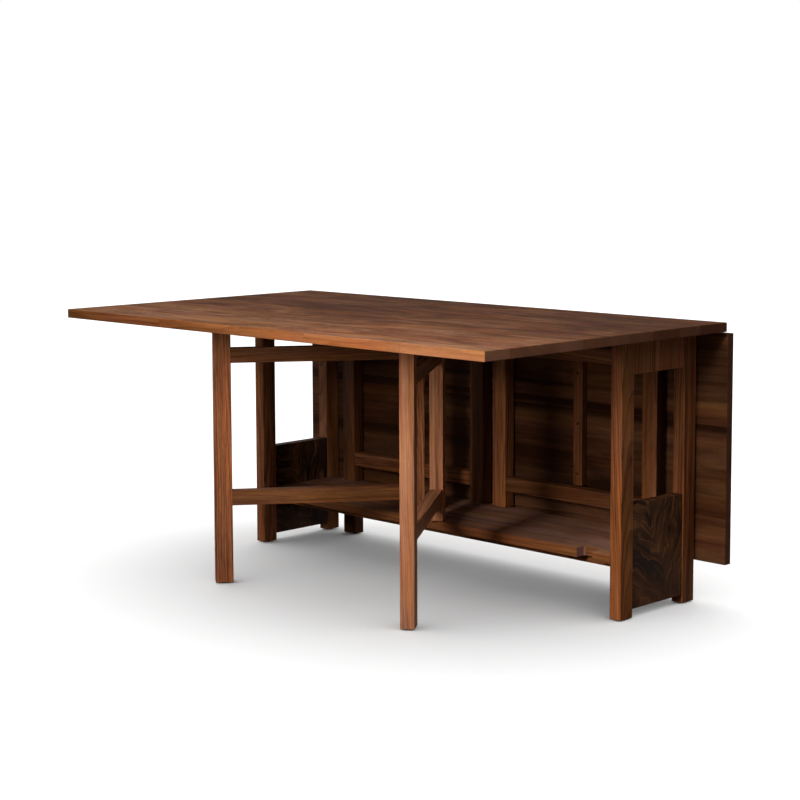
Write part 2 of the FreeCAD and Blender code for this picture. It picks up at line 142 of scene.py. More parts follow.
class Recipe:
    """Short calls that fill in the node tree of one material or world."""

    def __init__(self, tree: bpy.types.NodeTree) -> None:
        """Starts from an empty tree."""
        tree.nodes.clear()
        self.tree = tree

    def node(self, kind: str, **settings: object) -> bpy.types.Node:
        """Adds a node.

        Args:
            kind: the node's type name.
            settings: properties to set on it.

        Returns:
            The node.
        """
        made = self.tree.nodes.new(kind)
        for name, value in settings.items():
            setattr(made, name, value)
        return made

    def feed(self, socket: Socket, value: Value) -> None:
        """Links a socket to another, or sets it to a constant.

        Args:
            socket: the input to fill.
            value: the other socket or the constant.
        """
        if isinstance(value, bpy.types.NodeSocket):
            self.tree.links.new(value, socket)
        else:
            socket.default_value = value

    def filled(self, kind: str, values: Sequence[Value], **settings: object) -> bpy.types.Node:
        """Adds a node with its first inputs filled.

        Args:
            kind: the node's type name.
            values: its inputs, in order.
            settings: properties to set on it.

        Returns:
            The node.
        """
        made = self.node(kind, **settings)
        for socket, value in zip(made.inputs, values):
            self.feed(socket, value)
        return made

    def sum(self, operation: str, *values: Value) -> Socket:
        """The result of a Math node."""
        return self.filled("ShaderNodeMath", values, operation=operation).outputs[0]

    def times(self, value: Value, share: Value) -> Socket:
        """A value times a share."""
        return self.sum("MULTIPLY", value, share)

    def total(self, *values: Value) -> Value:
        """The sum of several values."""
        return reduce(lambda first, second: self.sum("ADD", first, second), values)

    def vector(self, operation: str, *values: Value) -> Socket:
        """The result of a Vector Math node: a number for a length or a dot product."""
        made = self.filled("ShaderNodeVectorMath", values, operation=operation)
        return made.outputs["Value" if operation in ("LENGTH", "DOT_PRODUCT") else "Vector"]

    def split(self, point: Value) -> list[Socket]:
        """The three parts of a point."""
        return list(self.filled("ShaderNodeSeparateXYZ", [point]).outputs)

    def join(self, *parts: Value) -> Socket:
        """The point that has these parts."""
        return self.filled("ShaderNodeCombineXYZ", parts).outputs[0]

    def noise(self, at: Value, stretch: Stretch, detail: float, result: Union[int, str] = 0,
              **inputs: float) -> Socket:
        """Adds a noise that is stretched along the axes.

        Args:
            at: the point.
            stretch: cycles per metre along each axis.
            detail: octaves.
            result: which output to give, the plain value or "Color".
            inputs: other inputs by name, such as Roughness or Distortion.

        Returns:
            The noise.
        """
        made = self.node("ShaderNodeTexNoise", noise_dimensions="3D")
        self.feed(made.inputs["Vector"], self.vector("MULTIPLY", at, stretch))
        for name, value in {"Scale": 1.0, "Detail": detail, **inputs}.items():
            made.inputs[name].default_value = value
        return made.outputs[result]

    def swing(self, value: Value, share: float) -> Socket:
        """A noise's departure from its middle, times a share."""
        return self.times(self.sum("SUBTRACT", value, 0.5), share)

    def spread(self, value: Value, low: float, high: float, to: Span) -> Socket:
        """A value, with its range from low to high stretched onto another range and clamped."""
        return self.filled("ShaderNodeMapRange", (value, low, high, *to), clamp=True).outputs[0]

    def ramp(self, value: Value, stops: Sequence[tuple[float, Colour]]) -> Socket:
        """Colours a value.

        Args:
            value: the value, from 0 to 1.
            stops: places and colours, in order.

        Returns:
            The colour.
        """
        made = self.node("ShaderNodeValToRGB")
        elements = made.color_ramp.elements
        while len(elements) < len(stops):
            elements.new(1.0)
        for element, (place, colour) in zip(elements, stops):
            element.position = place
            element.color = (*colour, 1.0)
        self.feed(made.inputs[0], value)
        return made.outputs[0]

    def mix(self, factor: Value, first: Value, second: Value, kind: str = "MIX") -> Socket:
        """Mixes two colours.

        Args:
            factor: the share of the second.
            first: the first colour.
            second: the second colour.
            kind: the way of mixing.

        Returns:
            The colour.
        """
        made = self.node("ShaderNodeMix", data_type="RGBA", blend_type=kind, clamp_factor=True)
        self.feed(made.inputs[0], factor)
        for socket, value in ((made.inputs[6], first), (made.inputs[7], second)):
            self.feed(socket, value if isinstance(value, bpy.types.NodeSocket) else (*value, 1.0))
        return made.outputs[2]

    def place(self, turn: Euler, centre: Vector) -> Socket:
        """Object coordinates, turned, with a point brought to the middle of the pattern.

        Args:
            turn: the turn of the pattern.
            centre: the point, in the row frame.

        Returns:
            The point in the pattern.
        """
        mapping = self.node("ShaderNodeMapping", vector_type="POINT")
        self.feed(mapping.inputs["Vector"], self.node("ShaderNodeTexCoord").outputs["Object"])
        mapping.inputs["Rotation"].default_value = turn
        mapping.inputs["Location"].default_value = -(turn.to_matrix() @ centre)
        return mapping.outputs[0]

    def toward(self, turn: Euler, axis: Axis) -> Socket:
        """How far the surface looks along an axis of a turned pattern, from -1 to 1."""
        normal = self.node("ShaderNodeTexCoord").outputs["Normal"]
        return self.vector("DOT_PRODUCT", normal, turn.to_matrix().transposed() @ Vector(axis.value))

    def bump(self, height: Value, strength: float, distance: float) -> Socket:
        """Adds a bump.

        Args:
            height: the height to follow.
            strength: how strongly.
            distance: the height's size in metres.

        Returns:
            The surface's normal.
        """
        made = self.node("ShaderNodeBump")
        for name, value in {"Strength": strength, "Distance": distance, "Height": height}.items():
            self.feed(made.inputs[name], value)
        return made.outputs[0]

    def surface(self, colour: Value, roughness: Value, normal: Value, **inputs: float) -> None:
        """Ends a material with its shader.

        Args:
            colour: the base colour.
            roughness: the roughness.
            normal: the bumped normal.
            inputs: other inputs of the shader that are the same all over, by name.
        """
        shader = self.node("ShaderNodeBsdfPrincipled")
        self.feed(shader.inputs["Base Color"], colour)
        self.feed(shader.inputs["Roughness"], roughness)
        self.feed(shader.inputs["Normal"], normal)
        for name, value in inputs.items():
            shader.inputs[name.replace("_", " ")].default_value = value
        end = self.node("ShaderNodeOutputMaterial")
        self.feed(end.inputs["Surface"], shader.outputs[0])


def new_material(name: str) -> tuple[bpy.types.Material, Recipe]:
    """An empty node material.

    Args:
        name: its name.

    Returns:
        The material and the recipe that fills it in.
    """
    made = bpy.data.materials.new(name)
    made.use_nodes = True
    return made, Recipe(made.node_tree)


def mesh_of(shape: bmesh.types.BMesh, name: str) -> bpy.types.Mesh:
    """Ends a bmesh as a mesh.

    Args:
        shape: the bmesh, which is freed.
        name: the mesh's name.

    Returns:
        The mesh.
    """
    mesh = bpy.data.meshes.new(name)
    shape.to_mesh(mesh)
    shape.free()
    return mesh


def new_object(name: str, data: bpy.types.ID) -> bpy.types.Object:
    """Puts an object into the scene.

    Args:
        name: its name.
        data: its mesh, lamp or camera.

    Returns:
        The object.
    """
    made = bpy.data.objects.new(name, data)
    bpy.context.scene.collection.objects.link(made)
    return made


def lean_of(lot: int, most: float) -> Span:
    """How far a piece's grain runs out of its length, both ways, up to an angle."""
    return tuple(most * math.sin(wave * lot) for wave in LEAN_WAVES)


def middle_of(node: str) -> Vector:
    """The middle of a CAD node's box."""
    low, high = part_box(node)
    return (low + high) / 2


@dataclass(frozen=True)
class Palette:
    """Colours of a wood from its dark lines to its palest streaks."""

    dark: Colour
    brown: Colour
    warm: Colour
    pale: Colour

    def times(self, share: float) -> "Palette":
        """The same wood, lighter or darker."""
        colours = (self.dark, self.brown, self.warm, self.pale)
        return Palette(*(tuple(part * share for part in colour) for colour in colours))

    def stops(self) -> list[tuple[float, Colour]]:
        """Places of the colours on a ramp."""
        return [(0.0, self.dark), (0.36, self.brown), (0.66, self.warm), (1.0, self.pale)]


@dataclass(frozen=True)
class Staves:
    """How a wide board is glued up from staves, in the board's own directions."""

    width: float
    joints: tuple[float, ...]
    period: float
    start: float = STAVE_START
    first: float = -HALF_LENGTH
    tone: float = 0.07
    end_tone: float = 0.2
    line: float = 0.45 * MILLIMETRE


class WoodNoises(NamedTuple):
    """The noises of one piece of wood, as sockets of its node tree, and the tone they make."""

    late: Socket
    figure: Socket
    streak: Socket
    fibre: Socket
    pore: Socket
    tone: Socket


@dataclass(frozen=True)
class Walnut:
    """Oiled walnut: growth lines, dark veins, slow figure, fibres and open pores along the grain."""

    name: str
    palette: Palette
    tone: float = 0.5
    band: float = 0.85
    ring: float = 0.45
    ring_pitch: float = 7 * MILLIMETRE
    vein: float = 0.28
    figure: float = 1.1
    figure_stretch: Stretch = (2.0, 15.0, 15.0)
    streak: float = 1.0
    mottle: float = 0.0
    mottle_stretch: Stretch = (4.2, 8.0, 8.0)
    hue_stretch: Stretch = (2.2, 16.0, 16.0)
    fibre: float = 0.3
    waver: float = 30 * MILLIMETRE
    ripple: float = 2 * MILLIMETRE
    pith: Span = (0.050, 0.075)
    lean: float = math.radians(3.5)
    roughness: Span = (0.52, 0.68)
    pore_depth: float = 0.4 * MILLIMETRE
    gloss: float = 0.03
    staves: Optional[Staves] = None
    # Paler near the front edge and darker further back across the board: painted light falling off from the
    # front.
    painted_edge_light: Span = (0.0, 0.0)
    edge_reach: float = 0.62
    # A change of tone from the left end to the right, used as painted shade towards the left end.
    painted_run_shade: Span = (0.0, 0.0)
    lipping: Optional[Palette] = None
    # The edge strip's tone from the left end to the right; its rise to the right is painted light.
    lipping_tone_and_light: Span = (0.24, 0.80)
    # The colours of the faces that look along the board's -Z: the back leaf's outer face, or painted shade on
    # a gate leg's right face.
    show: Optional[Palette] = None

    def glued(self, recipe: Recipe, at: Value) -> tuple[Socket, Socket, Socket, Socket]:
        """Splits a board into staves, each from another part of the tree.

        Args:
            recipe: the node tree.
            at: the point in the board.

        Returns:
            The point in the stave's own wood, the stave's tone, its glue lines, and the depth
            from the edge where the staves start.
        """
        plan = self.staves
        length, width, _ = recipe.split(at)
        depth = recipe.sum("SUBTRACT", width, plan.start)
        across = recipe.sum("DIVIDE", depth, plan.width)
        row = recipe.sum("FLOOR", across)
        shift = recipe.times(recipe.sum("FRACT", recipe.times(row, GOLDEN_SHARE)), plan.period)
        reach = recipe.sum("ADD", recipe.sum("SUBTRACT", length, plan.first), shift)
        along = recipe.sum("FLOORED_MODULO", reach, plan.period)
        passed = (recipe.sum("GREATER_THAN", along, joint) for joint in plan.joints)
        cell = recipe.total(0.0, *passed)
        chance = recipe.node("ShaderNodeTexWhiteNoise", noise_dimensions="3D")
        recipe.feed(chance.inputs["Vector"], recipe.join(row, cell))
        moved = recipe.vector("MULTIPLY", chance.outputs["Color"], STAVE_SHIFT)
        edge = recipe.sum("ABSOLUTE", recipe.sum("SUBTRACT", recipe.sum("FRACT", across), 0.5))
        lines = [recipe.sum("GREATER_THAN", edge, 0.5 - 0.5 * plan.line / plan.width)]
        lines += [recipe.sum("COMPARE", along, joint, plan.line) for joint in (0.0, *plan.joints)]
        glue = recipe.sum("MINIMUM", recipe.total(*lines), 1.0)
        return recipe.vector("ADD", at, moved), chance.outputs["Value"], glue, depth

    def from_heart(self, recipe: Recipe, at: Value, lot: int) -> Socket:
        """The distance from a wavering heart of the tree.

        Args:
            recipe: the node tree.
            at: the point in the wood.
            lot: picks which side the heart is on.

        Returns:
            The distance, with a step for the lot.
        """
        slow = recipe.noise(at, SLOW_WAVER, 2.0, "Color")
        quick = recipe.noise(at, QUICK_WAVER, 1.0, "Color")
        offset = recipe.vector("ADD",
                               recipe.vector("MULTIPLY", slow, (0.0, self.waver, self.waver)),
                               recipe.vector("MULTIPLY", quick, (0.0, self.ripple, self.ripple)))
        angle = GOLDEN_ANGLE * lot
        heart = (0.0, self.pith[0] * math.cos(angle) - self.waver / 2,
                 self.pith[1] * math.sin(angle) - self.waver / 2)
        flat = recipe.vector("ADD", recipe.vector("MULTIPLY", at, (0.0, 1.0, 1.0)), offset)
        radius = recipe.vector("LENGTH", recipe.vector("ADD", flat, heart))
        return recipe.sum("ADD", radius, RING_STEP * lot)

    def noises(self, recipe: Recipe, at: Value, lot: int) -> WoodNoises:
        """Adds the growth lines, veins, figure, fibres and pores of the wood.

        Args:
            recipe: the node tree.
            at: the point in the wood.
            lot: picks which side the heart is on.

        Returns:
            The noises, with the tone that they make together.
        """
        distance = self.from_heart(recipe, at, lot)
        bands = []
        for rings, detail in BANDS:
            years = recipe.node("ShaderNodeTexNoise", noise_dimensions="1D")
            recipe.feed(years.inputs["W"], distance)
            years.inputs["Scale"].default_value = 1.0 / (rings * self.ring_pitch)
            years.inputs["Detail"].default_value = detail
            bands.append(years.outputs[0])
        fine, broad = bands
        age = recipe.total(recipe.sum("DIVIDE", distance, self.ring_pitch), recipe.times(broad, 1.8))
        line = recipe.sum("SUBTRACT", recipe.sum("POWER", recipe.sum("FRACT", age), 3.0), 0.25)
        late = recipe.times(line, recipe.spread(recipe.noise(at, RING_PATCHES, 2.0), 0.35, 0.62, (0.25, 1.0)))
        near = recipe.sum("ABSOLUTE", recipe.sum("SUBTRACT", broad, 0.5))
        zone = recipe.spread(recipe.noise(at, VEIN_ZONES, 1.0), 0.46, 0.62, FULL)
        vein = recipe.times(recipe.spread(near, 0.0, 0.045, (1.0, 0.0)), zone)
        figure = recipe.noise(at, self.figure_stretch, 4.0, Roughness=0.55, Distortion=0.5)
        streak = recipe.noise(at, STREAKS, 4.0, Roughness=0.66)
        fibre = recipe.noise(at, FIBRES, 2.0)
        pore = recipe.spread(recipe.noise(at, PORES, 1.0), 0.60, 0.74, FULL)
        tone = recipe.total(recipe.swing(fine, self.band), recipe.times(late, -self.ring),
                            recipe.swing(figure, self.figure), recipe.swing(streak, self.streak),
                            recipe.swing(fibre, self.fibre), recipe.times(vein, -self.vein))
        return WoodNoises(late, figure, streak, fibre, pore, tone)

    def lipped(self, recipe: Recipe, length: Value, wood: WoodNoises) -> Socket:
        """The colour of the strip of wood along the board's long edges, paler towards the right end: painted
        light.
        """
        strip = recipe.total(recipe.spread(length, -HALF_LENGTH, HALF_LENGTH, self.lipping_tone_and_light),
                             recipe.swing(wood.streak, 0.85), recipe.swing(wood.fibre, 0.5),
                             recipe.swing(wood.figure, 0.12), recipe.times(wood.late, -0.3))
        return recipe.ramp(strip, self.lipping.stops())

    def tinted(self, recipe: Recipe, colour: Value, around: Value) -> Value:
        """Varies the hue slowly over the piece.

        Args:
            recipe: the node tree.
            colour: the colour of the wood.
            around: the point in the board, before it is split into staves.

        Returns:
            The new colour.
        """
        hues = recipe.node("ShaderNodeSeparateColor")
        recipe.feed(hues.inputs[0], recipe.noise(around, self.hue_stretch, 3.0, "Color", Distortion=0.4))
        for hue, (low, high, tint) in zip(hues.outputs, HUES):
            colour = recipe.mix(recipe.spread(hue, low, high, FULL), colour, tint, "MULTIPLY")
        return colour

    def end_grain(self, recipe: Recipe, at: Value, *tones: Value) -> Socket:
        """The colour of the wood where it is cut across, from the tones of its board and stave."""
        grey = recipe.total(recipe.spread(recipe.noise(at, END_SPECKS, 2.0), 0.3, 0.7, (-0.10, 0.20)), *tones)
        return recipe.mix(1.0, recipe.ramp(grey, self.palette.stops()), END_TINT, "MULTIPLY")

    def material(self, node: str, turn: Euler, lot: int) -> bpy.types.Material:
        """Makes this wood for one piece.

        Args:
            node: the piece's name.
            turn: the turn that brings the piece's grain to X.
            lot: a number that picks the piece's own part of the tree.

        Returns:
            The material.
        """
        made, recipe = new_material(f"{self.name}_{node}")
        board = recipe.place(turn, middle_of(node))
        step = (TREE_STEP * lot, 0.0, 0.0)
        around = recipe.vector("ADD", board, step)
        at, tone, stave, depth, glue = around, self.tone, 0.0, 0.0, None
        if self.staves:
            moved, chance, glue, depth = self.glued(recipe, board)
            at = recipe.vector("ADD", moved, step)
            stave = recipe.swing(chance, self.staves.end_tone)
            tone = recipe.total(recipe.swing(chance, self.staves.tone), self.tone)
        wood = self.noises(recipe, at, lot)
        shade = recipe.total(tone, wood.tone)
        if self.mottle:
            cloud = recipe.noise(around, self.mottle_stretch, 6.0, Roughness=0.74, Distortion=1.1)
            shade = recipe.total(shade, recipe.swing(cloud, self.mottle))
        # Painted light: paler near the front edge, darker towards the back.
        if any(self.painted_edge_light):
            shade = recipe.total(shade, recipe.spread(depth, 0.0, self.edge_reach, self.painted_edge_light))
        length, _, _ = recipe.split(board)
        # Painted shade along the board's length, where a change from end to end is given; the outer face's
        # colours are left without it.
        run = recipe.spread(length, -HALF_LENGTH, HALF_LENGTH, self.painted_run_shade)
        colour = recipe.ramp(recipe.total(shade, run), self.palette.stops())
        if self.show is not None:
            outer = recipe.spread(recipe.toward(turn, Axis.THICKNESS), -0.8, -0.6, (1.0, 0.0))
            colour = recipe.mix(outer, colour, recipe.ramp(shade, self.show.stops()))
        if self.lipping is not None:
            sides = recipe.sum("ABSOLUTE", recipe.toward(turn, Axis.WIDTH))
            rim = recipe.spread(sides, 0.6, 0.8, FULL)
            colour = recipe.mix(rim, colour, self.lipped(recipe, length, wood))
        colour = self.tinted(recipe, colour, around)
        colour = recipe.mix(recipe.times(wood.pore, 0.42), colour, self.palette.dark)
        if glue is not None:
            colour = recipe.mix(recipe.times(glue, 0.5), colour, self.palette.dark)
        ends = recipe.sum("ABSOLUTE", recipe.toward(turn, Axis.LENGTH))
        cut = recipe.spread(ends, 0.6, 0.9, (0.0, 0.75))
        colour = recipe.mix(cut, colour, self.end_grain(recipe, at, tone, stave))
        rough = recipe.spread(wood.fibre, 0.3, 0.7, self.roughness)
        height = recipe.sum("SUBTRACT", recipe.times(wood.fibre, 0.5), wood.pore)
        normal = recipe.bump(height, 0.22, self.pore_depth)
        recipe.surface(colour, rough, normal, Specular_IOR_Level=self.gloss)
        return made


@dataclass(frozen=True)
class CrotchWalnut:
    """Dark walnut cut from a fork of the tree, with feathery flames."""

    name: str
    palette: Palette
    tone: float = 0.46
    lean: float = math.radians(24)
    spread: float = 1.3
    bend_step: float = 0.83
    bend_stretch: Stretch = (9.0, 12.0, 12.0)
    bend_reach: Stretch = (0.09, 0.10, 0.05)
    flame_step: float = 0.37
    flame_stretch: Stretch = (58.0, 13.0, 13.0)
    cloud_step: float = 0.31
    cloud_stretch: Stretch = (8.0, 10.0, 10.0)
    fibre_stretch: Stretch = (420.0, 90.0, 90.0)
    fibre_depth: float = 0.3 * MILLIMETRE
    roughness: Span = (0.50, 0.64)
    gloss: float = 0.03

    def folded(self, recipe: Recipe, at: Value, lot: int) -> tuple[Socket, Socket]:
        """Bends the grain slowly and folds it about a leaning stem, as at a fork.

        Args:
            recipe: the node tree.
            at: the point in the panel.
            lot: the panel's lot number.

        Returns:
            The point in the bent grain, and the point in the flames.
        """
        tree = recipe.vector("ADD", at, (self.bend_step * lot, 0.0, 0.0))
        slow = recipe.noise(tree, self.bend_stretch, 3.0, "Color")
        offset = recipe.vector("SUBTRACT", slow, (0.5, 0.5, 0.5))
        bent = recipe.vector("ADD", at, recipe.vector("MULTIPLY", offset, self.bend_reach))
        stem = recipe.node("ShaderNodeMapping", vector_type="POINT")
        recipe.feed(stem.inputs["Vector"], bent)
        stem.inputs["Rotation"].default_value = (0.0, 0.0, self.lean)
        along, across, through = recipe.split(stem.outputs[0])
        fold = recipe.times(recipe.sum("ABSOLUTE", across), self.spread)
        flames = recipe.join(recipe.sum("SUBTRACT", along, fold),
                             recipe.sum("ADD", across, self.flame_step * lot), through)
        return bent, flames

    def material(self, node: str, turn: Euler, lot: int) -> bpy.types.Material:
        """Makes this wood for one panel.

        Args:
            node: the panel's name.
            turn: the turn that brings the panel's height to X.
            lot: a number that picks the panel's own part of the tree.

        Returns:
            The material.
        """
        made, recipe = new_material(f"{self.name}_{node}")
        at = recipe.place(turn, middle_of(node))
        bent, flames = self.folded(recipe, at, lot)
        flame = recipe.noise(flames, self.flame_stretch, 3.0, Roughness=0.5, Distortion=0.45)
        moved = recipe.vector("ADD", bent, (self.cloud_step * lot, 0.0, 0.0))
        cloud = recipe.noise(moved, self.cloud_stretch, 2.0)
        fibre = recipe.noise(flames, self.fibre_stretch, 2.0)
        height, _, _ = recipe.split(at)
        plain = recipe.spread(height, -0.13, -0.03, (0.35, 1.0))
        stroke = recipe.spread(flame, 0.36, 0.52, (-0.46, 0.0))
        wisp = recipe.spread(flame, 0.57, 0.68, (0.0, 0.62))
        shade = recipe.total(self.tone, recipe.times(recipe.total(stroke, wisp), plain),
                             recipe.swing(cloud, 1.8), recipe.swing(fibre, 0.5))
        colour = recipe.ramp(shade, self.palette.stops())
        rough = recipe.spread(fibre, 0.3, 0.7, self.roughness)
        normal = recipe.bump(fibre, 0.15, self.fibre_depth)
        recipe.surface(colour, rough, normal, Specular_IOR_Level=self.gloss)
        return made


@dataclass(frozen=True)
class Metal:
    """Metal with faint brushing and handling marks."""

    name: str
    colour: Colour
    worn: Colour
    roughness: Span
    mark_stretch: Stretch = (180.0, 180.0, 180.0)
    brush_stretch: Stretch = (120.0, 2600.0, 900.0)
    brush_depth: float = 0.2 * MILLIMETRE

    def material(self, node: str) -> bpy.types.Material:
        """Makes this metal for one piece.

        Args:
            node: the piece's name.

        Returns:
            The material.
        """
        made, recipe = new_material(f"{self.name}_{node}")
        at = recipe.place(Grain.ALONG.turn(), middle_of(node))
        marks = recipe.noise(at, self.mark_stretch, 3.0)
        brush = recipe.noise(at, self.brush_stretch, 2.0)
        colour = recipe.mix(recipe.spread(marks, 0.45, 0.75, FULL), self.colour, self.worn)
        rough = recipe.spread(recipe.total(recipe.swing(brush, 0.6), marks), 0.25, 0.75, self.roughness)
        recipe.surface(colour, rough, recipe.bump(brush, 0.08, self.brush_depth), Metallic=1.0)
        return made


@dataclass(frozen=True)
class Nylon:
    """Dark moulded nylon of the feet, scuffed by floors."""

    name: str
    colour: Colour
    scuff: Colour
    roughness: Span = (0.5, 0.7)
    grain_stretch: Stretch = (1500.0, 1500.0, 1500.0)
    mark_stretch: Stretch = (220.0, 90.0, 220.0)
    grain_depth: float = 0.2 * MILLIMETRE

    def material(self, node: str) -> bpy.types.Material:
        """Makes this nylon for one piece.

        Args:
            node: the piece's name.

        Returns:
            The material.
        """
        made, recipe = new_material(f"{self.name}_{node}")
        at = recipe.place(Grain.ALONG.turn(), middle_of(node))
        grain = recipe.noise(at, self.grain_stretch, 2.0)
        marks = recipe.noise(at, self.mark_stretch, 3.0)
        colour = recipe.mix(recipe.spread(marks, 0.5, 0.8, (0.0, 0.6)), self.colour, self.scuff)
        rough = recipe.spread(grain, 0.3, 0.7, self.roughness)
        recipe.surface(colour, rough, recipe.bump(grain, 0.2, self.grain_depth))
        return made


Wood = Union[Walnut, CrotchWalnut]
Finish = Union[Walnut, CrotchWalnut, Metal, Nylon]

FRAME_COLOURS = Palette(
    dark=(0.050, 0.0160, 0.0063), brown=(0.140, 0.050, 0.0200),
    warm=(0.235, 0.088, 0.0360), pale=(0.35, 0.142, 0.061))
# The pale stop is greyer, a painted sheen where the front of the top is paler.
TOP_COLOURS = Palette(
    dark=(0.056, 0.0200, 0.0085), brown=(0.124, 0.0475, 0.0210),
    warm=(0.196, 0.086, 0.0420), pale=(0.292, 0.143, 0.0760))
SHELF_COLOURS = Palette(
    dark=(0.050, 0.024, 0.016), brown=(0.110, 0.054, 0.036),
    warm=(0.175, 0.088, 0.060), pale=(0.29, 0.152, 0.098))
PANEL_COLOURS = Palette(
    dark=(0.018, 0.0090, 0.0060), brown=(0.066, 0.0270, 0.0126),
    warm=(0.130, 0.0520, 0.0230), pale=(0.22, 0.093, 0.042))
NEAR_COLOURS = Palette(
    dark=(0.140, 0.0535, 0.0245), brown=(0.290, 0.1195, 0.0580),
    warm=(0.400, 0.173, 0.0880), pale=(0.52, 0.242, 0.128))
LIPPING_COLOURS = Palette(
    dark=(0.060, 0.0192, 0.0068), brown=(0.160, 0.0550, 0.0202),
    warm=(0.240, 0.090, 0.0361), pale=(0.335, 0.138, 0.0585))
# Painted shade: colours for the hanging back leaf's inner face, darkened for the shade under the top.
SHADED_LEAF_COLOURS = Palette(
    dark=(0.023, 0.0085, 0.0040), brown=(0.066, 0.0262, 0.0120),
    warm=(0.112, 0.0465, 0.0215), pale=(0.19, 0.084, 0.039))

TOP_STAVES = Staves(width=0.088, joints=(0.426, 0.763, 1.010, 1.350), period=1.75)
LONG_STAVES = Staves(width=0.124, joints=(), period=3.5)

POST_WALNUT = Walnut("post_walnut", FRAME_COLOURS.times(1.4))
NEAR_GATE_WALNUT = Walnut(
    "near_gate_walnut", NEAR_COLOURS.times(1.12), ring_pitch=5 * MILLIMETRE, vein=0.12, figure=0.7,
    streak=1.3, fibre=0.7, lean=math.radians(0.8))
FAR_LEG_WALNUT = Walnut(
    "far_leg_walnut", FRAME_COLOURS.times(1.45), band=0.5, ring=0.7, figure=0.7, fibre=0.7,
    lean=math.radians(9))
# The far gate's rails are darker than its leg: painted shade under the top.
FAR_RAIL_WALNUT = Walnut("far_rail_walnut", FRAME_COLOURS.times(1.05), band=0.5, ring=0.3, figure=0.6)
CLOSED_GATE_WALNUT = Walnut("closed_gate_walnut", FRAME_COLOURS.times(0.9))
# The end rails are paler than the posts: painted light where they sit in the top's shade.
END_RAIL_WALNUT = Walnut("end_rail_walnut", FRAME_COLOURS.times(2.05), vein=0.4)
RAIL_WALNUT = Walnut("rail_walnut", FRAME_COLOURS)
BATTEN_WALNUT = Walnut("batten_walnut", FRAME_COLOURS.times(0.75))
# The top is paler near its front edge and darker towards the back: painted light falling off from the front.
TOP_WALNUT = Walnut(
    "top_walnut", TOP_COLOURS, band=0.4, ring=0.42, vein=0.15, figure=0.5, streak=0.9, fibre=0.5,
    mottle=2.5, mottle_stretch=(2.8, 9.0, 9.0), hue_stretch=(3.0, 12.0, 12.0), gloss=0.006,
    staves=TOP_STAVES, painted_edge_light=(0.28, -0.28), lipping=LIPPING_COLOURS)
# The centre board's lower tone is painted shade for the back of the top.
CENTRE_WALNUT = replace(TOP_WALNUT, name="centre_walnut", tone=0.27, painted_edge_light=(0.0, 0.0))
# The back leaf's inner face takes painted shade, darker still towards the left end; its outer face shows the
# top's colours.
BACK_LEAF_WALNUT = Walnut(
    "back_leaf_walnut", SHADED_LEAF_COLOURS.times(1.18), band=0.9, ring=0.12, ring_pitch=13 * MILLIMETRE,
    vein=0.4, figure_stretch=(0.9, 12.0, 12.0), streak=0.5, mottle=1.0,
    mottle_stretch=(1.6, 7.0, 7.0), gloss=0.01, staves=LONG_STAVES, painted_run_shade=(-0.22, 0.06),
    show=TOP_COLOURS.times(1.1))
# The shelf is darker towards its left end: painted shade.
SHELF_WALNUT = Walnut(
    "shelf_walnut", SHELF_COLOURS.times(1.9), band=0.3, ring=0.12, figure=0.6, streak=0.5,
    mottle=1.0, mottle_stretch=(3.5, 9.0, 9.0), gloss=0.02, painted_run_shade=(-0.42, 0.0),
    lipping=FRAME_COLOURS, lipping_tone_and_light=(0.40, 0.55))
PANEL_WALNUT = CrotchWalnut("figured_walnut", PANEL_COLOURS)
# Painted shade: near-black colours for the right face of the back right gate leg, which stands in deep shade
# behind the right end frame.
PAINTED_SIDE_SHADE = FRAME_COLOURS.times(0.25)
# Painted shade: shares of colour for the left end's back post and panel, darker for the shade they stand in.
PAINTED_SHADE_BOARDS = {"left_back_post": 0.65, "left_end_panel": 0.5}

HINGE_STEEL = Metal("hinge_steel", (0.085, 0.070, 0.058), (0.17, 0.14, 0.11), (0.34, 0.52))
SCREW_STEEL = Metal("screw_steel", (0.075, 0.066, 0.058), (0.15, 0.13, 0.11), (0.34, 0.52))
PIVOT_STEEL = Metal("pivot_steel", (0.46, 0.45, 0.43), (0.58, 0.57, 0.55), (0.24, 0.42))
PIVOT_BRASS = Metal("pivot_brass", (0.56, 0.38, 0.15), (0.68, 0.50, 0.24), (0.22, 0.40))
FOOT_NYLON = Nylon("foot_glide", (0.018, 0.015, 0.013), (0.045, 0.040, 0.036))


def dress_node(node: str, finish: Finish, *where: object) -> None:
    """Gives a CAD node its material.

    Args:
        node: the node's name.
        finish: what the piece is made of.
        where: for a wood, the turn of its grain and its lot number.
    """
    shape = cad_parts[node]
    material = finish.material(node, *where)
    if not shape.material_slots:
        shape.data.materials.append(material)
    for slot in shape.material_slots:
        slot.material = material
    LOG.info("dressed %s with %s", node, material.name)


def with_painted_shade(wood: Wood, node: str) -> Wood:
    """A wood, darkened by painted shade for the pieces listed as standing in shade."""
    return replace(wood, palette=wood.palette.times(PAINTED_SHADE_BOARDS.get(node, 1.0)))


